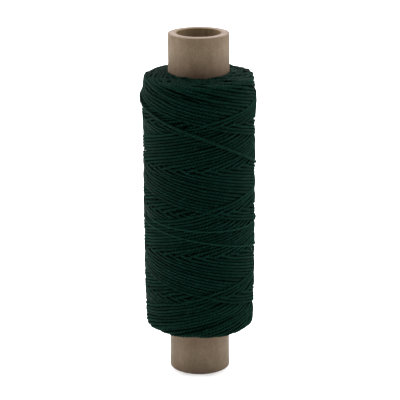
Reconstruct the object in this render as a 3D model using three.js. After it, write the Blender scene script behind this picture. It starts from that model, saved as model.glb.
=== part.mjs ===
// Tube of twisted twine: a laminated paper tube with one length of twine cross-wound on it.
// Millimetres, +Z up. The origin is the centre of the tube's bottom end, and the front faces -Y.
import * as THREE from "three";

const SEGMENTS = 48; // facets round the axis, alike on every round piece so that they nest

// Paper tube: a liner, five body plies and a wrap, glued together
const TUBE_LENGTH = 150;
const BORE_RADIUS = 9.4;
const SKIN_PLY = 0.35; // thickness of the liner and the wrap
const BODY_PLY = 0.6;
const BODY_PLIES = 5;
const GLUE_LINE = 0.02;
const LIP = 0.3; // chamfer at the bore's mouth and at the tube's outer rim

// Winding
const CORD = 1.35; // diameter of the twine
const WOUND_LAYERS = 5;
const LAYER_GAP = 0.05;
const FOOT_LOW = 17.5; // height at which the winding's bottom end meets the tube
const FOOT_HIGH = 134;
const CORNER = 1.6; // radius of the outer corners at both ends
const SIDE = [
  // radius and height down the winding's side, between its corners
  [22.7, 20.6],
  [23.3, 34],
  [23.4, 112],
  [23.95, 121],
  [22.9, 131.4],
];

// Closing turns: the last twine laid, as angle from the front towards +X and height
const CLOSING_ROUTE = [
  [-135, 128.5],
  [-70, 120.8],
  [0, 111],
  [78, 94.6],
  [180, 84],
  [297, 71.9],
  [355, 69.6],
  [414, 68.5],
  [540, 69.2],
  [654, 69.7],
  [720, 65],
  [786, 58.8],
  [850, 53],
];
const TURN_ENDS = [-135, 180, 540, 850]; // the angles at which one closing turn ends and the next starts
const TURN_GAP = 1.2; // degrees between the ends of neighbouring closing turns
const CORD_STEP = 8; // degrees between sections of a closing turn
const CORD_SIDES = 8;
const CORD_CLEARANCE = 0.12; // between the closing turns and the winding under them
const TUCKED_ROUTE = [
  // the free end, which turns down and lies along the winding
  [852.5, 52.4],
  [858, 50.2],
  [861, 46.5],
  [862, 42.5],
];

const LINER_PAPER = { color: 0x564735, roughness: 0.9, metalness: 0 };
const BODY_PAPER = { color: 0xb8a996, roughness: 0.9, metalness: 0 };
const WRAP_PAPER = { color: 0x8f7d64, roughness: 0.85, metalness: 0 };
const TWINE = { color: 0x16332a, roughness: 0.7, metalness: 0 };

const part = new THREE.Group();

function addPiece(name, geometry, finish) {
  const mesh = new THREE.Mesh(geometry, new THREE.MeshStandardMaterial(finish));
  mesh.name = name;
  part.add(mesh);
}

// Solid of revolution about +Z. The outline's [radius, height] pairs go out, up, in and down again.
function revolve(outline) {
  const points = [...outline, outline[0]].map(([radius, z]) => new THREE.Vector2(radius, z));
  return new THREE.LatheGeometry(points, SEGMENTS).rotateX(Math.PI / 2);
}

// Outline of a ply, with a chamfer of the given size on its inner and outer edges, or none where it is 0.
function plyOutline(inner, outer, innerLip, outerLip) {
  const edge = (radius, z, lip, along, across) =>
    lip ? [[radius + across * lip, z], [radius, z + along * lip]] : [[radius, z]];
  return [
    ...edge(inner, 0, innerLip, 1, 1).reverse(),
    ...edge(outer, 0, outerLip, 1, -1),
    ...edge(outer, TUBE_LENGTH, outerLip, -1, -1).reverse(),
    ...edge(inner, TUBE_LENGTH, innerLip, -1, 1),
  ];
}

// Adds the tube's plies from the bore outwards and returns the tube's outer radius.
function addTube() {
  let radius = BORE_RADIUS;
  const addPly = (name, thickness, innerLip, outerLip, finish) => {
    const outer = radius + thickness - GLUE_LINE;
    addPiece(name, revolve(plyOutline(radius, outer, innerLip, outerLip)), finish);
    radius += thickness;
  };
  addPly("core_liner", SKIN_PLY, LIP, 0, LINER_PAPER);
  for (let i = 1; i <= BODY_PLIES; i++) addPly(`core_ply_${i}`, BODY_PLY, 0, 0, BODY_PAPER);
  addPly("core_wrap", SKIN_PLY, 0, LIP, WRAP_PAPER);
  return radius;
}

// Value on the line through [position, value] stations.
function along(stations, position) {
  const next = stations.findIndex(([at]) => at > position);
  if (next === 0) return stations[0][1];
  if (next < 0) return stations.at(-1)[1];
  const [[fromAt, from], [toAt, to]] = [stations[next - 1], stations[next]];
  return from + ((to - from) * (position - fromAt)) / (toAt - fromAt);
}

const sideByHeight = SIDE.map(([radius, z]) => [z, radius]);
const sideRadius = (z) => along(sideByHeight, z);

// Rounded corner where an end of the winding turns into its side; side is 1 at the bottom and -1 at the top.
function corner([radius, z], side) {
  return [0, 30, 60, 90].map((degrees) => {
    const turn = THREE.MathUtils.degToRad(degrees);
    return [radius - CORNER * (1 - Math.sin(turn)), z + side * CORNER * (1 - Math.cos(turn))];
  });
}

// Height of the winding's sloping end at a radius, between its foot on the tube and its outer corner.
function endHeight(radius, tubeRadius, foot, [sideR, sideZ]) {
  return foot + ((sideZ - foot) * (radius - tubeRadius)) / (sideR - tubeRadius);
}

function addWinding(tubeRadius) {
  const depth = (SIDE[0][0] - CORNER - tubeRadius) / (WOUND_LAYERS - 1);
  const low = (radius) => endHeight(radius, tubeRadius, FOOT_LOW, SIDE[0]);
  const high = (radius) => endHeight(radius, tubeRadius, FOOT_HIGH, SIDE.at(-1));
  for (let i = 1; i <= WOUND_LAYERS; i++) {
    const inner = tubeRadius + LAYER_GAP + (i - 1) * depth;
    const outer = inner + depth - LAYER_GAP;
    const side =
      i < WOUND_LAYERS
        ? [[outer, low(outer)], [outer, high(outer)]]
        : [...corner(SIDE[0], 1), ...SIDE.slice(1, -1), ...corner(SIDE.at(-1), -1).reverse()];
    addPiece(`twine_layer_${i}`, revolve([[inner, low(inner)], ...side, [inner, high(inner)]]), TWINE);
  }
}

function onWinding(degrees, z) {
  const radius = sideRadius(z) + CORD_CLEARANCE + CORD / 2;
  const angle = THREE.MathUtils.degToRad(degrees - 90);
  return new THREE.Vector3(radius * Math.cos(angle), radius * Math.sin(angle), z);
}

// Round cord along a route of angles and heights, from one angle to another.
function cordOnWinding(route, from, to) {
  const count = Math.max(3, Math.round((to - from) / CORD_STEP));
  const points = [];
  for (let i = 0; i <= count; i++) {
    const degrees = from + ((to - from) * i) / count;
    points.push(onWinding(degrees, along(route, degrees)));
  }
  const section = new THREE.Shape();
  for (let i = 0; i < CORD_SIDES; i++) {
    const turn = (2 * Math.PI * i) / CORD_SIDES;
    section[i ? "lineTo" : "moveTo"]((CORD / 2) * Math.cos(turn), (CORD / 2) * Math.sin(turn));
  }
  section.closePath();
  const extrudePath = new THREE.CatmullRomCurve3(points);
  return new THREE.ExtrudeGeometry(section, { steps: count, extrudePath, bevelEnabled: false });
}

function addClosingTurns() {
  for (let i = 1; i < TURN_ENDS.length; i++) {
    const from = TURN_ENDS[i - 1] + TURN_GAP / 2;
    const to = TURN_ENDS[i] - TURN_GAP / 2;
    addPiece(`closing_turn_${i}`, cordOnWinding(CLOSING_ROUTE, from, to), TWINE);
  }
  const tuck = cordOnWinding(TUCKED_ROUTE, TUCKED_ROUTE[0][0], TUCKED_ROUTE.at(-1)[0]);
  addPiece("tucked_end", tuck, TWINE);
}

addWinding(addTube());
addClosingTurns();

export default part;
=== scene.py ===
"""Tube of dark green twisted twine: a laminated paper tube, cross-wound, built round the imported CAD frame.

The winding is shaped as a winding machine would lay it. Each pass of twine settles, pulled taut, on the
surface left by the passes before it. The whole is then pressed to the profile of the finished winding, and
only the stretches that show are made into mesh. Winding sizes are in millimetres and degrees, and everything
handed to Blender is in metres.
"""
import math

import bpy
import numpy as np
from mathutils import Matrix, Vector


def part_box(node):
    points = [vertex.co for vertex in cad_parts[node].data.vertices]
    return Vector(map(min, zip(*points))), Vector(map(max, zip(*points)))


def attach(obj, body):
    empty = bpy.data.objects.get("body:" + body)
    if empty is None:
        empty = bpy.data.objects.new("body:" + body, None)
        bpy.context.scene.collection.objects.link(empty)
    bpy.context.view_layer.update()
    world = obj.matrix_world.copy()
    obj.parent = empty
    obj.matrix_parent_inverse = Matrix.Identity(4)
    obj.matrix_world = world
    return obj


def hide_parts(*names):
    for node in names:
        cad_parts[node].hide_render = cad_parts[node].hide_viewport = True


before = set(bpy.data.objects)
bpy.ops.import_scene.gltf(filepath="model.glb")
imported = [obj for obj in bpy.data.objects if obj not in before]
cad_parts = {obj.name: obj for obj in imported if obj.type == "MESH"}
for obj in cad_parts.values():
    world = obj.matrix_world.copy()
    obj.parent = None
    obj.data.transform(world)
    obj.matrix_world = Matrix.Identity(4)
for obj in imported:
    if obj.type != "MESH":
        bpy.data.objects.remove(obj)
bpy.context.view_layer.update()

MM = 0.001
BODY = "root"
SEED = 11

# Twine
CORD_HALF_WIDTH = 0.70
CORD_HALF_THICKNESS = 0.60
PRESSED_HALF_THICKNESS = 0.46  # what a cord adds where others cross it under tension
STRANDS = 3
TWIST_LENGTH = 4.6  # one full turn of the twine's three strands
RING_POINTS = 9  # three to a strand
GROOVE_DEPTH = 0.34  # share of the radius
RING_SPACING = 0.6

# Winding machine
LEAD = 37.6  # rise of the twine in one turn
TURNS_PER_PASS = 3
CORDS_PER_LEAD = 26  # passes that lie side by side before the pattern closes
NEWEST_REVERSAL = 195.0  # angle of the last reversal at the top
SAMPLE = 0.6  # degrees between samples of a pass
APEX_HIGH = 133.3  # heights of the zigzag's unrounded corners in the outermost layer
APEX_LOW = 20.5
ROUND_HIGH = 30.0  # degrees over which a corner is rounded
ROUND_LOW = 16.0
END_SCATTER = 0.25  # spread of the reversals' heights
WANDER = 0.07  # spread of a cord's sideways wander
FOOT_FLARE_HIGH = 1.6  # how much further out the reversals lie at the tube
FOOT_FLARE_LOW = 2.4
LAYERS = 5
JOIN_SAMPLES = 30  # over which two passes are brought together at a reversal

# Outer radius of the finished winding, on the crests of its cords, by height
CREST_PROFILE = [
    (17.0, 14.0), (18.3, 18.0), (19.3, 21.5), (20.2, 22.6), (22.0, 23.3), (30.0, 23.65),
    (45.0, 23.9), (80.0, 24.0), (112.0, 23.95), (116.0, 24.1), (120.5, 24.5), (124.0, 24.3),
    (128.0, 23.7), (131.6, 23.2), (132.5, 22.3), (133.2, 19.8), (134.1, 16.0), (135.0, 14.0),
]
CREST_TO_MEAN = -0.05  # from the crests to the mean surface that the pressing aims at
CREST_EXCESS = 0.35  # most that single cords stand out past the profile
PRESSING = [(61, 1.0), (21, 0.75), (9, 0.1)]  # window in cells, and the share of bumps pressed out

# Winding surface: a radius for each cell of angle and height
COLUMNS = 720
ROWS = 500
FLOOR_Z = 14.0
CEILING_Z = 139.0
ROW_HEIGHT = (CEILING_Z - FLOOR_Z) / ROWS
ACROSS = np.linspace(-CORD_HALF_WIDTH, CORD_HALF_WIDTH, 9)
CORD_CREST = PRESSED_HALF_THICKNESS * np.sqrt(np.clip(1 - (ACROSS / CORD_HALF_WIDTH) ** 2, 0, 1))
BEARING = np.abs(ACROSS) <= 0.36  # part of a cord's width that is lifted by what lies under it
SIDE_STEPS = np.linspace(-0.7, 0.7, 11)  # sideways shifts that a cord may settle into
SIDE_FRICTION = 0.25
SETTLE_FADE_FROM = 1.5  # a cord settles sideways only further than this from the ends of its pass
SETTLE_FADE_OVER = 5.0
SETTLE_WINDOW = 15  # samples

# Closing turns, laid over everything: angle from the front towards +X, and height. From -135 on they follow
# the CAD's route, and before that they run on from the last pass.
CLOSING_ROUTE = [
    (-179, 131.7), (-165, 131.3), (-150, 130.2), (-135, 128.5), (-70, 120.8), (0, 111), (78, 94.6),
    (180, 84), (297, 71.9), (355, 69.6), (414, 68.5), (540, 69.2), (654, 69.7), (720, 65), (786, 58.8),
    (850, 53), (858, 50.2), (861, 46.5), (862, 42.5),
]
# By angle: how far the closing turns stand off the cords under them, how pale they are, and how thick; the
# paleness from 220 degrees on is a painted highlight
CLOSING_SLACK = [(-135, 0.35), (90, 0.35), (200, -0.20), (846, -0.20), (862, -1.2)]
CLOSING_TONE_AND_HIGHLIGHT = [(-135, 0.9), (100, 0.9), (220, 2.2), (862, 2.2)]
CLOSING_SIZE = [(-135, 1.0), (100, 1.0), (220, 0.62), (862, 0.62)]
CLOSING_ROUTE_WINDOW = 41  # samples over which the route is smoothed
CLOSING_REST_WINDOW = 31  # samples over which the surface under the closing turns is smoothed

# What shows of a cord
SEEN = 0.12  # covered by less than this, a cord shows
BURIED = 0.75  # covered by more than this, it can be cut without the cut showing
SHORTEST_STRETCH = 5  # samples
CROWN_STEP = 0.25  # width of a ring of cells on an end face
CROWN_CELLS = 60
CROWN_REACH = 6.0  # how far from the end of the winding a cord can still show on its end face
NOTHING = 1e9  # a depth or height that stands for no cord

# Body of inner turns that closes the gaps between the cords
PACKING_COLUMNS = 120
PACKING_ROWS = 90
PACKING_RINGS = 12
PACKING_DEPTH = 9.0  # how far out the rings of its end faces reach
PACKING_SINK = 0.5  # how deep it lies under the cords
PACKING_END = 2.2  # how far its side stops short of the CAD winding's ends

# Pieces
OUTER_PIECES = 4  # the outermost layer is split, to keep each piece's mesh small
TUBE_SEGMENTS = 144
TUBE_STEP = 6.0  # longest edge of the tube's outline
GLUE_LINE = 0.02
BORE_LIP = 0.25  # radius of the rounded edges
WRAP_LIP = 0.3

# Stage, with lengths in tube heights for the camera and metres for the rest
CAMERA_DISTANCE = 4.6  # along the ground
CAMERA_HEIGHT = 1.924
CAMERA_PITCH = 17.11
CAMERA_ROLL = 0.226
CAMERA_SIDE = 0.0021
CAMERA_LENS = 149.8
FLOOR_RADIUS = 1.5
FLOOR_SIDES = 96
FLOOR_GLOW = 0.2  # lifts the shadow where the tube meets the floor
SKY_LIGHT = 0.16  # strength of the surroundings as light
SKY_SEEN = 1.0  # and as the camera sees them


def node_radius(node):
    """Outer radius of a round CAD node, in millimetres."""
    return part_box(node)[1].x / MM


TUBE_RADIUS = node_radius("core_wrap")
TUBE_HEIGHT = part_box("core_wrap")[1].z / MM
OUTER_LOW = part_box("twine_layer_5")[0].z / MM
OUTER_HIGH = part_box("twine_layer_5")[1].z / MM


# ---------------------------------------------------------------- winding


def smooth_noise(rng, count, spacing):
    """Smooth random curve with one knot for every spacing samples."""
    knots = rng.normal(size=int(count / spacing) + 4)
    place = np.arange(count) / spacing
    cell = place.astype(int)
    share = place - cell
    share = share * share * (3 - 2 * share)
    return knots[cell] * (1 - share) + knots[cell + 1] * share


def moving_mean(values, window):
    """Mean over a window along the last axis, with the ends held."""
    half = window // 2
    pad = [(0, 0)] * (values.ndim - 1) + [(half + 1, half)]
    total = np.cumsum(np.pad(values, pad, mode="edge"), axis=-1)
    return (total[..., window:] - total[..., :-window]) / window


def blur_surface(surface, window):
    """Mean of a surface over a square window. It wraps round in angle and holds its edges in height."""
    wrapped = np.concatenate([surface[-window:], surface, surface[:window]], axis=0)
    turned = moving_mean(wrapped.T, window)[:, window:-window].T
    return moving_mean(turned, window)


def cells(angle, height):
    """Column and row of each place on the winding surface."""
    column = np.floor((angle % 360.0) * (COLUMNS / 360.0)).astype(int) % COLUMNS
    row = np.clip(((height - FLOOR_Z) / ROW_HEIGHT).astype(int), 0, ROWS - 1)
    return column, row


def taut(distance, support, bend):
    """Radius of a taut cord over supports: their upper hull, once the curvature of the drum is taken off."""
    flat = support - distance * distance / (2 * bend)
    x, y = distance.tolist(), flat.tolist()
    kept = [0]
    for i in range(1, len(x)):
        while len(kept) > 1:
            a, b = kept[-2], kept[-1]
            if (y[b] - y[a]) * (x[i] - x[a]) > (y[i] - y[a]) * (x[b] - x[a]):
                break
            kept.pop()
        kept.append(i)
    kept = np.array(kept)
    return np.interp(distance, distance[kept], flat[kept]) + distance * distance / (2 * bend)


def settle(surface, angle, height):
    """Sideways shift with which a cord drops between its neighbours, none at the winding's ends."""
    lift = []
    for shift in SIDE_STEPS:
        spots = height[:, None] + shift + ACROSS[BEARING][None, :]
        under = surface[cells(np.broadcast_to(angle[:, None], spots.shape), spots)]
        lift.append((under + CORD_CREST[BEARING]).max(axis=1))
    friction = SIDE_FRICTION * (SIDE_STEPS[:, None] / SIDE_STEPS[-1]) ** 2
    cost = moving_mean(np.array(lift), SETTLE_WINDOW) + friction
    chosen = SIDE_STEPS[cost.argmin(axis=0)]
    shift = moving_mean(moving_mean(chosen, SETTLE_WINDOW), SETTLE_WINDOW)
    to_end = np.minimum(height - height.min(), height.max() - height)
    return shift * np.clip((to_end - SETTLE_FADE_FROM) / SETTLE_FADE_OVER, 0, 1)


def lay(surface, angle, height, slides=True):
    """Lays a cord on the surface, raises the surface under it, and returns the cord's centre line."""
    bend = max(float(surface[cells(angle, height)].mean()), TUBE_RADIUS)
    if slides:
        height = height + settle(surface, angle, height)
    along = np.radians(np.gradient(angle)) * bend
    rise = np.gradient(height)
    step = np.hypot(along, rise)
    distance = np.concatenate([[0], np.cumsum((step[1:] + step[:-1]) / 2)])
    across_angle = -np.degrees(np.outer(rise / step, ACROSS) / bend)
    across_height = np.outer(along / step, ACROSS)
    spot = cells(angle[:, None] + across_angle, height[:, None] + across_height)
    support = (surface[spot][:, BEARING] + CORD_CREST[BEARING]).max(axis=1)
    radius = taut(distance, support, bend)
    np.maximum.at(surface, spot, radius[:, None] + CORD_CREST)
    return {"angle": angle, "height": height, "radius": radius, "distance": distance}


def zigzag(start, turn, high, low, downwards, rounds):
    """Angles and heights of one pass between the two ends, with its corners rounded."""
    count = int(round(turn / SAMPLE))
    angle = start + np.linspace(0, turn, count + 1)
    from_high = angle - start if downwards else start + turn - angle
    from_low = turn - from_high
    slope = (high - low) / turn
    height = high - slope * from_high
    near = from_high < rounds[0]
    height[near] = high - slope * (from_high[near] ** 2 / (2 * rounds[0]) + rounds[0] / 2)
    near = from_low < rounds[1]
    height[near] = low + slope * (from_low[near] ** 2 / (2 * rounds[1]) + rounds[1] / 2)
    return angle, height


def wind_layer(rng, surface, high, low, pattern):
    """Winds one closed pattern of passes, oldest first, and returns their centre lines."""
    turn = 360.0 * TURNS_PER_PASS - 180.0 / CORDS_PER_LEAD
    ends = rng.normal(size=2 * CORDS_PER_LEAD + 1) * END_SCATTER
    cords = []
    for i in range(CORDS_PER_LEAD):
        age = CORDS_PER_LEAD - 1 - i + pattern * CORDS_PER_LEAD
        start = NEWEST_REVERSAL + age * 360.0 / CORDS_PER_LEAD
        for downwards in (True, False):
            at_high = ends[2 * i] if downwards else ends[2 * i + 2]
            at_low = ends[2 * i + 1]
            rounds = (ROUND_HIGH * rng.uniform(0.8, 1.3), ROUND_LOW * rng.uniform(0.8, 1.4))
            begin = start if downwards else start + turn
            angle, height = zigzag(begin, turn, high + at_high, low + at_low, downwards, rounds)
            wander = smooth_noise(rng, len(height), 50) + smooth_noise(rng, len(height), 160) + rng.normal()
            cords.append(lay(surface, angle, height + WANDER * 0.6 * wander))
    return cords


def join_ends(before, after):
    """Brings the end of one pass and the start of the next together, so that the twine runs on."""
    fade = np.clip(1 - np.arange(JOIN_SAMPLES) / JOIN_SAMPLES, 0, 1) ** 2
    for key in ("radius", "height"):
        middle = (before[key][-1] + after[key][0]) / 2
        before[key][-JOIN_SAMPLES:] += (middle - before[key][-1]) * fade[::-1]
        after[key][:JOIN_SAMPLES] += (middle - after[key][0]) * fade


def press_flat(surface, cords, base, target):
    """Presses the large bumps out of a layer, so that its mean radius follows the target for each row."""
    covered = (surface > base + PRESSED_HALF_THICKNESS).astype(float)
    for window, strength in PRESSING:
        share = blur_surface(covered, window)
        mean = blur_surface(surface * covered, window) / np.maximum(share, 0.02)
        shift = strength * np.where(share > 0.05, mean - target[None, :], 0.0)
        for cord in cords:
            cord["radius"] = cord["radius"] - shift[cells(cord["angle"], cord["height"])]
        surface -= np.where(covered > 0, shift, 0.0)


def hold_to_profile(cord):
    """Keeps a cord between the tube and the profile of the crests."""
    most = np.interp(cord["height"], *np.array(CREST_PROFILE).T) + CREST_EXCESS - CORD_HALF_THICKNESS
    cord["radius"] = np.maximum(np.minimum(cord["radius"], most), TUBE_RADIUS + 0.5)


def wind():
    """Winds every layer. Returns the finished surface and the cords of each layer."""
    rng = np.random.default_rng(SEED)
    rows = FLOOR_Z + ROW_HEIGHT * (np.arange(ROWS) + 0.5)
    crest = np.interp(rows, *np.array(CREST_PROFILE).T)
    layers = []
    for i in range(LAYERS):
        inner, outer = i / LAYERS, (i + 1) / LAYERS
        base = TUBE_RADIUS + inner * (crest - CREST_TO_MEAN - TUBE_RADIUS)
        target = TUBE_RADIUS + outer * (crest - CREST_TO_MEAN - TUBE_RADIUS)
        surface = np.tile(base, (COLUMNS, 1)) if i < LAYERS - 1 else np.maximum(surface, base[None, :] - 0.5)
        high = APEX_HIGH + FOOT_FLARE_HIGH * (1 - outer)
        low = APEX_LOW - FOOT_FLARE_LOW * (1 - outer)
        cords = wind_layer(rng, surface, high, low, LAYERS - 1 - i)
        press_flat(surface, cords, base[None, :], target)
        for cord in cords:
            hold_to_profile(cord)
        for before, after in zip(cords, cords[1:]):
            join_ends(before, after)
        most = crest + CREST_EXCESS - CORD_HALF_THICKNESS + PRESSED_HALF_THICKNESS
        surface = np.minimum(surface, most[None, :])
        layers.append(cords)
    return surface, layers


def close_winding(surface):
    """Lays the closing turns and sinks their end under the outermost cords."""
    angle = np.arange(CLOSING_ROUTE[0][0], CLOSING_ROUTE[-1][0], SAMPLE)
    height = np.interp(angle, *np.array(CLOSING_ROUTE).T)
    height = moving_mean(moving_mean(height, CLOSING_ROUTE_WINDOW), CLOSING_ROUTE_WINDOW)
    under = moving_mean(surface[cells(angle, height)], CLOSING_REST_WINDOW) + PRESSED_HALF_THICKNESS
    cord = lay(surface, angle, height, slides=False)
    cord["radius"] = np.minimum(cord["radius"], under + np.interp(angle, *np.array(CLOSING_SLACK).T))
    cord["size"] = np.interp(angle, *np.array(CLOSING_SIZE).T)
    # Tone of the closing turns: ordinary up to 100 degrees, a painted highlight from 220 degrees on.
    cord["tone_and_highlight"] = np.interp(angle, *np.array(CLOSING_TONE_AND_HIGHLIGHT).T)
    return cord


# ---------------------------------------------------------------- what shows


def side_depth(surface, cord):
    """How far the least covered part of a cord's back lies below the finished surface."""
    spot = cells(cord["angle"][:, None], cord["height"][:, None] + ACROSS)
    return (surface[spot] - (cord["radius"][:, None] + CORD_CREST)).min(axis=1)


def crown_cells(angle, radius):
    """Column and ring of each place on an end face."""
    column = np.floor((angle % 360.0) * (COLUMNS / 360.0)).astype(int) % COLUMNS
    ring = np.clip(((radius - TUBE_RADIUS) / CROWN_STEP).astype(int), 0, CROWN_CELLS - 1)
    return column, ring


def crown_points(cord, side):
    """Cells and heights, measured outwards, of the part of a cord that faces an end of the winding."""
    across = np.linspace(-1, 1, 7)
    reach = CORD_HALF_WIDTH * np.sqrt(1 - across**2)
    radius = cord["radius"][:, None] + CORD_HALF_THICKNESS * across
    spot = crown_cells(np.broadcast_to(cord["angle"][:, None], radius.shape), radius)
    return spot, side * cord["height"][:, None] + reach


def end_face(cords, side):
    """How far out the winding's end reaches, for each cell. Side is 1 at the top and -1 at the bottom."""
    crown = np.full((COLUMNS, CROWN_CELLS), -NOTHING)
    for cord in cords:
        spot, out = crown_points(cord, side)
        np.maximum.at(crown, spot, out)
    return crown


def end_depth(crown, cord, side):
    """How far the least covered part of a cord lies below the end face, and NOTHING away from the face."""
    spot, out = crown_points(cord, side)
    limit = OUTER_HIGH - CROWN_REACH if side > 0 else -(OUTER_LOW + CROWN_REACH)
    return np.where(side * cord["height"] > limit, (crown[spot] - out).min(axis=1), NOTHING)


def shown_stretches(depth):
    """First and last sample of each stretch that isn't buried and shows somewhere."""
    edges = np.flatnonzero(np.diff(np.concatenate([[0], (depth < BURIED).astype(int), [0]])))
    pairs = [(a, b - 1) for a, b in zip(edges[::2], edges[1::2])]
    return [(a, b) for a, b in pairs if b - a > SHORTEST_STRETCH and depth[a : b + 1].min() < SEEN]


def visible_stretches(surface, layers, crowns):
    """Every stretch of every layer that shows from outside, one list for each layer."""
    found = []
    for i, cords in enumerate(layers):
        mine = []
        for cord in cords:
            outermost = i == len(layers) - 1
            depth = side_depth(surface, cord) if outermost else np.full(len(cord["angle"]), NOTHING)
            for side, crown in crowns.items():
                depth = np.minimum(depth, end_depth(crown, cord, side))
            for first, last in shown_stretches(depth):
                mine.append({key: values[first : last + 1] for key, values in cord.items()})
        found.append(mine)
    return found


# ---------------------------------------------------------------- mesh


def new_object(name, mesh, material, body=BODY):
    """Links an object with its material, and hangs it on a body unless body is None."""
    obj = bpy.data.objects.new(name, mesh)
    bpy.context.scene.collection.objects.link(obj)
    mesh.materials.append(material)
    if body:
        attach(obj, body)
    return obj


def mesh_from_arrays(name, points, quads, caps=()):
    """Smooth mesh from an array of points in metres, an array of quads, and a list of cap polygons."""
    mesh = bpy.data.meshes.new(name)
    corners = [quads.reshape(-1)] + [np.array(cap) for cap in caps]
    sizes = np.array([4] * len(quads) + [len(cap) for cap in caps])
    loops = np.concatenate(corners)
    mesh.vertices.add(len(points))
    mesh.vertices.foreach_set("co", points.astype(np.float32).reshape(-1))
    mesh.loops.add(len(loops))
    mesh.loops.foreach_set("vertex_index", loops.astype(np.int32))
    mesh.polygons.add(len(sizes))
    mesh.polygons.foreach_set("loop_start", np.concatenate([[0], np.cumsum(sizes)[:-1]]).astype(np.int32))
    mesh.polygons.foreach_set("use_smooth", np.ones(len(sizes), bool))
    mesh.update(calc_edges=True)
    mesh.validate()
    return mesh


def cord_rings(cord, phase):
    """Points of a three-strand cord along a centre line, its painted-shade mask, its fibre coordinates, and
    the samples picked.
    """
    span = cord["distance"] - cord["distance"][0]
    stops = np.linspace(0, span[-1], int(span[-1] / RING_SPACING) + 2)
    pick = np.unique(np.searchsorted(span, stops))
    turn = np.radians(cord["angle"][pick])
    radius, height, distance = cord["radius"][pick], cord["height"][pick], cord["distance"][pick]
    outward = np.stack([np.sin(turn), -np.cos(turn), np.zeros_like(turn)], axis=1)
    centre = outward * radius[:, None]
    centre[:, 2] = height
    ahead = np.gradient(centre, axis=0)
    ahead /= np.linalg.norm(ahead, axis=1, keepdims=True)
    side = np.cross(ahead, outward)
    side /= np.linalg.norm(side, axis=1, keepdims=True)
    normal = np.cross(side, ahead)
    twist = 2 * math.pi * distance / TWIST_LENGTH + phase
    around = 2 * math.pi * np.arange(RING_POINTS) / RING_POINTS
    at = around[None, :] + twist[:, None]
    in_groove = (np.arange(RING_POINTS) % (RING_POINTS // STRANDS) == 0).astype(float)
    thickness = cord.get("size", np.ones(len(cord["angle"])))[pick, None]
    size = (1 - GROOVE_DEPTH * in_groove[None, :]) * thickness
    points = (
        centre[:, None, :]
        + (CORD_HALF_WIDTH * size * np.cos(at))[..., None] * side[:, None, :]
        + (CORD_HALF_THICKNESS * size * np.sin(at))[..., None] * normal[:, None, :]
    )
    # Painted shade mask: 1 on the outward crests of the strands, falling to 0 down the cord's sides, on its
    # inner face and in the grooves.
    facing = np.clip((np.sin(at) + 0.1) / 0.9, 0, 1)
    crest = (1 - in_groove) * facing * facing
    parts = (np.cos(around)[None, :], np.sin(around)[None, :], distance[:, None])
    fibre = np.stack([np.broadcast_to(part, at.shape) for part in parts], axis=-1)
    return points, crest, fibre, pick


def cord_mesh(name, cords, rng):
    """One mesh of many cords, with the attributes that the twine's material reads."""
    points, crests, fibres, tones_and_highlights, quads, caps = [], [], [], [], [], []
    start = 0
    step = np.arange(RING_POINTS)
    for cord in cords:
        ring_points, crest, fibre, pick = cord_rings(cord, rng.uniform(0, 2 * math.pi))
        tone_and_highlight = cord["tone_and_highlight"][pick] if "tone_and_highlight" in cord else np.array(rng.uniform(0, 1))
        rings = len(ring_points)
        first = start + RING_POINTS * np.arange(rings - 1)[:, None]
        a = first + step[None, :]
        b = first + ((step + 1) % RING_POINTS)[None, :]
        quads.append(np.stack([a, b, b + RING_POINTS, a + RING_POINTS], axis=-1).reshape(-1, 4))
        caps.append(start + step[::-1])
        caps.append(start + RING_POINTS * (rings - 1) + step)
        points.append(ring_points.reshape(-1, 3))
        crests.append(crest.reshape(-1))
        fibres.append((fibre + [0, 0, rng.uniform(0, 500)]).reshape(-1, 3))
        tones_and_highlights.append(np.broadcast_to(tone_and_highlight.reshape(-1, 1), (rings, RING_POINTS)).reshape(-1))
        start += rings * RING_POINTS
    mesh = mesh_from_arrays(name, np.concatenate(points) * MM, np.concatenate(quads), caps)
    # Attributes for the material: the painted-shade mask, each cord's random tone with the painted highlight
    # of the later closing turns, and the fibre coordinates.
    for attribute, kind, field, values in (
        ("crest", "FLOAT", "value", np.concatenate(crests)),
        ("tone_and_highlight", "FLOAT", "value", np.concatenate(tones_and_highlights)),
        ("fibre", "FLOAT_VECTOR", "vector", np.concatenate(fibres)),
    ):
        layer = mesh.attributes.new(attribute, kind, "POINT")
        layer.data.foreach_set(field, values.astype(np.float32).reshape(-1))
    return mesh


def lathe_points(profile, segments):
    """Points [segments, profile, 3] of a surface of revolution about +Z, from radius and height pairs."""
    turn = 2 * math.pi * np.arange(segments) / segments
    radius, height = np.array(profile).T
    x, y = np.outer(np.sin(turn), radius), -np.outer(np.cos(turn), radius)
    return np.stack([x, y, np.tile(height, (segments, 1))], axis=-1)


def torus_quads(columns, rows):
    """Quads of a grid that closes on itself both ways."""
    i, j = np.meshgrid(np.arange(columns), np.arange(rows), indexing="ij")
    ahead, up = (i + 1) % columns, (j + 1) % rows
    corners = [i * rows + j, ahead * rows + j, ahead * rows + up, i * rows + up]
    return np.stack(corners, axis=-1).reshape(-1, 4)


# ---------------------------------------------------------------- materials


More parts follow.
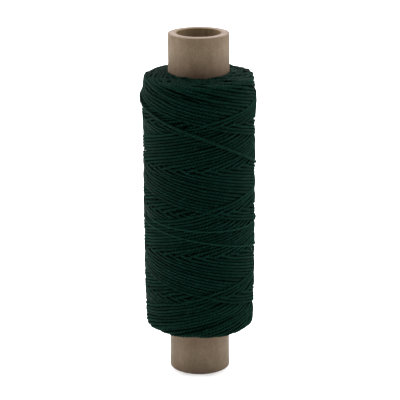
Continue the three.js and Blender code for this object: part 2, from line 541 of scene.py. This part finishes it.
class Nodes:
    """Short calls for building a node tree."""

    def __init__(self, name):
        self.material = bpy.data.materials.new(name)
        self.material.use_nodes = True
        self.tree = self.material.node_tree
        self.shader = self.tree.nodes["Principled BSDF"]

    def add(self, kind, inputs=None, **settings):
        node = self.tree.nodes.new(kind)
        for key, value in settings.items():
            setattr(node, key, value)
        for key, value in (inputs or {}).items():
            if isinstance(value, bpy.types.NodeSocket):
                self.tree.links.new(value, node.inputs[key])
            else:
                node.inputs[key].default_value = value
        return node

    def ramp(self, value, stops):
        node = self.add("ShaderNodeValToRGB", {"Fac": value})
        ramp = node.color_ramp
        while len(ramp.elements) < len(stops):
            ramp.elements.new(0.5)
        for element, (position, colour) in zip(ramp.elements, stops):
            element.position = position
            element.color = (*colour, 1)
        return node.outputs["Color"]

    def mix(self, share, first, second, blend="MIX"):
        node = self.add("ShaderNodeMix", data_type="RGBA", blend_type=blend)
        for socket, value in ((node.inputs[0], share), (node.inputs[6], first), (node.inputs[7], second)):
            if isinstance(value, bpy.types.NodeSocket):
                self.tree.links.new(value, socket)
            elif isinstance(value, tuple):
                socket.default_value = (*value, 1)
            else:
                socket.default_value = value
        return node.outputs[2]

    def maths(self, operation, first, second=0.0):
        node = self.add("ShaderNodeMath", {0: first, 1: second}, operation=operation)
        return node.outputs[0]

    def noise(self, vector, scale, detail=3.0, roughness=0.55):
        inputs = {"Vector": vector, "Scale": scale, "Detail": detail, "Roughness": roughness}
        return self.add("ShaderNodeTexNoise", inputs).outputs["Fac"]

    def stretched(self, vector, scale):
        return self.add("ShaderNodeMapping", {"Vector": vector, "Scale": scale}).outputs["Vector"]

    def bump(self, height, strength, distance):
        node = self.add("ShaderNodeBump", {"Height": height, "Strength": strength, "Distance": distance})
        self.tree.links.new(node.outputs["Normal"], self.shader.inputs["Normal"])

    def set(self, **values):
        for key, value in values.items():
            socket = self.shader.inputs[key.replace("_", " ").title().replace("Ior", "IOR")]
            if isinstance(value, bpy.types.NodeSocket):
                self.tree.links.new(value, socket)
            else:
                socket.default_value = value


def twine_material():
    """Green twine: filaments along the strands, with painted shade in the grooves and on the strand sides
    that face in, and a painted highlight along the later closing turns.
    """
    n = Nodes("green_twine")
    crest = n.add("ShaderNodeAttribute", attribute_name="crest").outputs["Fac"]
    tone_and_highlight = n.add("ShaderNodeAttribute", attribute_name="tone_and_highlight").outputs["Fac"]
    fibre = n.add("ShaderNodeAttribute", attribute_name="fibre").outputs["Vector"]
    filaments = n.noise(n.stretched(fibre, (9.0, 9.0, 0.5)), 1.0, detail=2.0)
    patches = n.noise(n.stretched(fibre, (0.2, 0.2, 0.35)), 1.0, detail=2.0)
    value = n.maths("ADD", n.maths("MULTIPLY", filaments, 0.55), n.maths("MULTIPLY", patches, 0.45))
    dark, middle, pale = (0.0001, 0.0040, 0.0023), (0.0006, 0.0106, 0.0066), (0.0085, 0.040, 0.028)
    colour = n.ramp(value, [(0.32, dark), (0.52, middle), (0.70, pale)])
    # Each cord's own random tone pales it a little; the closing turns' higher tone is a painted highlight.
    colour = n.mix(n.maths("MULTIPLY", tone_and_highlight, 0.3), colour, (0.0060, 0.0380, 0.0260))
    # Painted shade: the grooves and the strand sides that face in go nearly black.
    colour = n.mix(crest, (0.0001, 0.0010, 0.0006), colour)
    rough = n.maths("ADD", n.maths("MULTIPLY", filaments, 0.25), 0.45)
    n.set(base_color=colour, roughness=rough, specular_ior_level=0.03, specular_tint=(0.35, 1.0, 0.72, 1))
    n.set(sheen_weight=0.012, sheen_roughness=0.35, sheen_tint=(0.35, 1.0, 0.72, 1))
    n.bump(filaments, 0.5, 0.00012)
    return n.material


def packing_material():
    """Twine in deep shadow."""
    n = Nodes("twine_in_shadow")
    place = n.add("ShaderNodeTexCoord").outputs["Object"]
    grain = n.noise(n.stretched(place, (600, 600, 1400)), 1.0)
    colour = n.ramp(grain, [(0.35, (0.0003, 0.0035, 0.0020)), (0.7, (0.0010, 0.0085, 0.0055))])
    n.set(base_color=colour, roughness=0.95, specular_ior_level=0.0)
    n.bump(grain, 0.6, 0.0003)
    return n.material


def kraft_material():
    """Outer wrap: mottled brown kraft with specks and faint scratches, darker and redder next to and under
    the winding.
    """
    n = Nodes("kraft_wrap")
    place = n.add("ShaderNodeTexCoord").outputs["Object"]
    streaks = n.noise(n.stretched(place, (500, 500, 90)), 1.0, detail=4.0)
    blotches = n.noise(n.stretched(place, (170, 170, 150)), 1.0, detail=3.0)
    grain = n.noise(n.stretched(place, (1300, 1300, 1100)), 1.0, detail=3.0)
    scratches = n.noise(n.stretched(place, (70, 70, 1900)), 1.0, detail=1.0)
    value = n.maths("ADD", n.maths("MULTIPLY", streaks, 0.22), n.maths("MULTIPLY", blotches, 0.40))
    value = n.maths("ADD", value, n.maths("MULTIPLY", grain, 0.38))
    dark, middle, pale = (0.083, 0.055, 0.030), (0.105, 0.073, 0.043), (0.129, 0.093, 0.058)
    colour = n.ramp(value, [(0.36, dark), (0.5, middle), (0.64, pale)])
    height = n.add("ShaderNodeSeparateXYZ", {"Vector": place}).outputs["Z"]
    middle = (OUTER_LOW + OUTER_HIGH) / 2 * MM
    from_middle = n.maths("ABSOLUTE", n.maths("SUBTRACT", height, middle))
    reach = {"Value": from_middle, "From Min": 0.055, "From Max": 0.066}
    bare = n.add("ShaderNodeMapRange", reach).outputs["Result"]
    # Darker, redder band next to and under the winding, streaked by the scratch noise.
    streak_share = n.maths("ADD", 0.35, n.maths("MULTIPLY", scratches, 0.5))
    darker_near_winding = n.maths("MULTIPLY", n.maths("SUBTRACT", 1.0, bare), streak_share)
    colour = n.mix(darker_near_winding, colour, (0.070, 0.036, 0.020))
    specks = n.add("ShaderNodeTexVoronoi", {"Vector": place, "Scale": 430.0}).outputs["Distance"]
    specks = n.maths("MULTIPLY", n.maths("LESS_THAN", specks, 0.11), 0.45)
    colour = n.mix(specks, colour, (0.042, 0.024, 0.013))
    shifted = n.add("ShaderNodeMapping", {"Vector": place, "Location": (0.37, 0.11, 0.23)}).outputs["Vector"]
    flecks = n.add("ShaderNodeTexVoronoi", {"Vector": shifted, "Scale": 380.0}).outputs["Distance"]
    flecks = n.maths("MULTIPLY", n.maths("LESS_THAN", flecks, 0.07), 0.3)
    colour = n.mix(flecks, colour, (0.30, 0.26, 0.20))
    rough = n.maths("ADD", n.maths("MULTIPLY", grain, 0.2), 0.6)
    n.set(base_color=colour, roughness=rough, specular_ior_level=0.25)
    n.bump(n.maths("ADD", grain, streaks), 0.35, 0.0002)
    return n.material


def ply_material():
    """Cut edge of the plies: pale, fibrous board."""
    n = Nodes("board_edge")
    place = n.add("ShaderNodeTexCoord").outputs["Object"]
    grain = n.noise(n.stretched(place, (900, 900, 900)), 1.0, detail=4.0)
    blotches = n.noise(place, 140.0)
    value = n.maths("ADD", n.maths("MULTIPLY", grain, 0.5), n.maths("MULTIPLY", blotches, 0.5))
    dark, middle, pale = (0.100, 0.077, 0.062), (0.134, 0.106, 0.089), (0.168, 0.136, 0.116)
    colour = n.ramp(value, [(0.35, dark), (0.55, middle), (0.7, pale)])
    n.set(base_color=colour, roughness=0.9, specular_ior_level=0.15)
    n.bump(grain, 0.6, 0.0003)
    return n.material


def liner_material():
    """Inner liner: darker brown paper."""
    n = Nodes("bore_liner")
    place = n.add("ShaderNodeTexCoord").outputs["Object"]
    streaks = n.noise(n.stretched(place, (300, 300, 90)), 1.0, detail=4.0)
    colour = n.ramp(streaks, [(0.35, (0.084, 0.054, 0.026)), (0.65, (0.126, 0.086, 0.046))])
    n.set(base_color=colour, roughness=0.85, specular_ior_level=0.2)
    n.bump(streaks, 0.3, 0.0002)
    return n.material


# ---------------------------------------------------------------- pieces


def add_twine(name, cords, rng, material, *nodes):
    piece = new_object(name, cord_mesh(name, cords, rng), material)
    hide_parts(*nodes)


def make_twine(material):
    """Makes every cord that shows, and returns the finished surface and both end faces."""
    rng = np.random.default_rng(SEED + 1)
    surface, layers = wind()
    closing = close_winding(surface)
    join_ends(layers[-1][-1], closing)
    every = [cord for cords in layers for cord in cords]
    crowns = {side: end_face(every, side) for side in (1, -1)}
    shown = visible_stretches(surface, layers, crowns)
    outer = shown[-1]
    length = np.cumsum([len(cord["angle"]) for cord in outer])
    group = (length * OUTER_PIECES // (length[-1] + 1)).astype(int)
    for i in range(OUTER_PIECES):
        name = f"twine_outer_{i + 1}"
        mine = [cord for cord, place in zip(outer, group) if place == i]
        add_twine(name, mine, rng, material, "twine_layer_5")
    for i, cords in enumerate(shown[:-1]):
        add_twine(f"twine_end_turns_{i + 1}", cords, rng, material, f"twine_layer_{i + 1}")
    turns = ("closing_turn_1", "closing_turn_2", "closing_turn_3", "tucked_end")
    add_twine("closing_twine", [closing], rng, material, *turns)
    return surface, crowns


def lowest_near(field, reach):
    """Lowest value within reach cells, wrapping round in angle only."""
    low = field.copy()
    for shift in range(-reach, reach + 1):
        low = np.minimum(low, np.roll(field, shift, axis=0))
    padded = np.pad(low, [(0, 0), (reach, reach)], mode="edge")
    count = field.shape[1]
    return np.min([padded[:, i : i + count] for i in range(2 * reach + 1)], axis=0)


def packing_outline(side_radii, heights, ring_radii, low_end, high_end):
    """Closed outline of the packing at one angle: out along the bottom, up the side and in along the top."""
    inside = ring_radii < min(side_radii[0], side_radii[-1]) - 0.4
    bottom_corner, top_corner = (side_radii[0], heights[0]), (side_radii[-1], heights[-1])
    bottom, top = [], []
    for radius, low, high, keep in zip(ring_radii, low_end, high_end, inside):
        bottom.append((radius, min(low, heights[0])) if keep else bottom_corner)
        top.append((radius, max(high, heights[-1])) if keep else top_corner)
    return bottom + list(zip(side_radii, heights)) + top[::-1]


def make_packing(surface, crowns, material):
    """Body of inner turns that closes the gaps between the cords that show."""
    columns = np.arange(PACKING_COLUMNS) * (COLUMNS // PACKING_COLUMNS)
    heights = np.linspace(OUTER_LOW + PACKING_END, OUTER_HIGH - PACKING_END, PACKING_ROWS)
    rows = ((heights - FLOOR_Z) / ROW_HEIGHT).astype(int)
    side = lowest_near(surface, 2)[columns][:, rows] - PACKING_SINK
    rings = TUBE_RADIUS + 0.06 + np.linspace(0, PACKING_DEPTH, PACKING_RINGS)
    cell = np.clip(((rings - TUBE_RADIUS) / CROWN_STEP).astype(int), 0, CROWN_CELLS - 1)
    ends = {}
    for out in (1, -1):
        flat_end = out * (OUTER_HIGH if out > 0 else OUTER_LOW)
        known = np.where(crowns[out] > -NOTHING / 10, crowns[out], flat_end)
        ends[out] = out * (lowest_near(known, 2)[columns][:, cell] - PACKING_SINK)
    points = []
    for i, column in enumerate(columns):
        turn = 2 * math.pi * column / COLUMNS
        outline = packing_outline(side[i], heights, rings, ends[-1][i], ends[1][i])
        points.append([(r * math.sin(turn), -r * math.cos(turn), z) for r, z in outline])
    points = np.array(points)
    quads = torus_quads(PACKING_COLUMNS, points.shape[1])
    mesh = mesh_from_arrays("twine_packing", points.reshape(-1, 3) * MM, quads)
    piece = new_object("twine_packing", mesh, material)
    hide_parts("twine_layer_4")


def lip_outline(inner, outer, inner_round, outer_round, height):
    """Outline of a tube wall, out, up, in and down, with its lips rounded where they have a radius."""
    outline = []
    for radius, z, first, size, across, along in (
        (outer, 0, 270, outer_round, -1, 1),
        (outer, height, 0, outer_round, -1, -1),
        (inner, height, 90, inner_round, 1, -1),
        (inner, 0, 180, inner_round, 1, 1),
    ):
        if not size:
            outline.append((radius, z))
            continue
        for step in range(5):
            turn = math.radians(first + 22.5 * step)
            r = radius + size * (across + math.cos(turn))
            outline.append((r, z + size * (along + math.sin(turn))))
    return outline


def subdivided(outline, step):
    """Closed outline with points added so that none of its edges is longer than step."""
    points = []
    for (r0, z0), (r1, z1) in zip(outline, outline[1:] + outline[:1]):
        count = max(1, math.ceil(math.hypot(r1 - r0, z1 - z0) / step))
        points += [(r0 + (r1 - r0) * i / count, z0 + (z1 - z0) * i / count) for i in range(count)]
    return points


def make_ring_wall(name, walls, lips, material, nodes):
    """A wall of the tube. Walls are its inner and outer radius, and lips the radius of the edges of each."""
    outline = subdivided(lip_outline(*walls, *lips, TUBE_HEIGHT), TUBE_STEP)
    points = lathe_points(outline, TUBE_SEGMENTS).reshape(-1, 3)
    mesh = mesh_from_arrays(name, points * MM, torus_quads(TUBE_SEGMENTS, len(outline)))
    piece = new_object(name, mesh, material)
    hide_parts(*nodes)


def make_tube():
    """Liner, plies and wrap, at the radii of the CAD nodes that they replace."""
    plies = [f"core_ply_{i}" for i in range(1, 6)]
    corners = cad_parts["core_liner"].data.vertices
    bore = min(math.hypot(corner.co.x, corner.co.y) for corner in corners) / MM
    liner = node_radius("core_liner")
    body = node_radius("core_ply_5")
    skin = (bore, liner)
    board = (liner + GLUE_LINE, body)
    wrap = (body + GLUE_LINE, TUBE_RADIUS)
    make_ring_wall("tube_liner", skin, (BORE_LIP, 0), liner_material(), ["core_liner"])
    make_ring_wall("tube_plies", board, (0, 0), ply_material(), plies)
    make_ring_wall("tube_wrap", wrap, (0, WRAP_LIP), kraft_material(), ["core_wrap"])


# ---------------------------------------------------------------- stage

def make_camera():
    camera = bpy.data.objects.new("camera", bpy.data.cameras.new("camera"))
    bpy.context.scene.collection.objects.link(camera)
    height = TUBE_HEIGHT * MM
    camera.location = (CAMERA_SIDE * height, -CAMERA_DISTANCE * height, CAMERA_HEIGHT * height)
    tilt = Matrix.Rotation(math.radians(90 - CAMERA_PITCH), 4, "X")
    roll = Matrix.Rotation(math.radians(-CAMERA_ROLL), 4, "Z")
    camera.rotation_euler = (tilt @ roll).to_euler()
    camera.data.lens = CAMERA_LENS
    camera.data.clip_end = 50  # metres
    bpy.context.scene.camera = camera


def soft_box(name, location, size, power, target=(0, 0, 0.08)):
    light = bpy.data.lights.new(name, "AREA")
    light.shape = "RECTANGLE"
    light.size, light.size_y = size
    light.energy = power
    obj = bpy.data.objects.new(name, light)
    bpy.context.scene.collection.objects.link(obj)
    obj.location = location
    obj.rotation_euler = (Vector(target) - Vector(location)).to_track_quat("-Z", "Y").to_euler()


def make_floor():
    floor = bpy.data.meshes.new("floor")
    turns = [2 * math.pi * i / FLOOR_SIDES for i in range(FLOOR_SIDES)]
    rim = [(FLOOR_RADIUS * math.cos(turn), FLOOR_RADIUS * math.sin(turn), 0) for turn in turns]
    floor.from_pydata(rim, [], [range(FLOOR_SIDES)])
    n = Nodes("pale_floor")
    n.set(base_color=(0.9, 0.9, 0.9, 1), roughness=0.9, specular_ior_level=0.1)
    n.set(emission_color=(1, 1, 1, 1), emission_strength=FLOOR_GLOW)
    new_object("floor", floor, n.material, body=None)


def make_sky():
    """White surroundings that the camera sees at full strength and that light the object only a little."""
    world = bpy.data.worlds.new("studio")
    world.use_nodes = True
    tree = world.node_tree
    background = tree.nodes["Background"]
    rays = tree.nodes.new("ShaderNodeLightPath")
    pick = tree.nodes.new("ShaderNodeMix")
    pick.data_type = "FLOAT"
    pick.inputs[2].default_value = SKY_LIGHT
    pick.inputs[3].default_value = SKY_SEEN
    tree.links.new(rays.outputs["Is Camera Ray"], pick.inputs[0])
    tree.links.new(pick.outputs[0], background.inputs["Strength"])
    background.inputs["Color"].default_value = (1, 1, 1, 1)
    bpy.context.scene.world = world


def make_stage():
    make_floor()
    make_sky()
    soft_box("left_box", (-0.8, 0.05, 0.35), (0.5, 0.8), 5.5)
    soft_box("right_box", (0.8, 0.05, 0.35), (0.5, 0.8), 5.5)
    soft_box("top_box", (0.0, 0.4, 1.1), (1.8, 1.8), 78, (0, 0.25, 0))
    bpy.context.scene.view_settings.view_transform = "Standard"


make_camera()
make_stage()
make_tube()
surface, crowns = make_twine(twine_material())
make_packing(surface, crowns, packing_material())
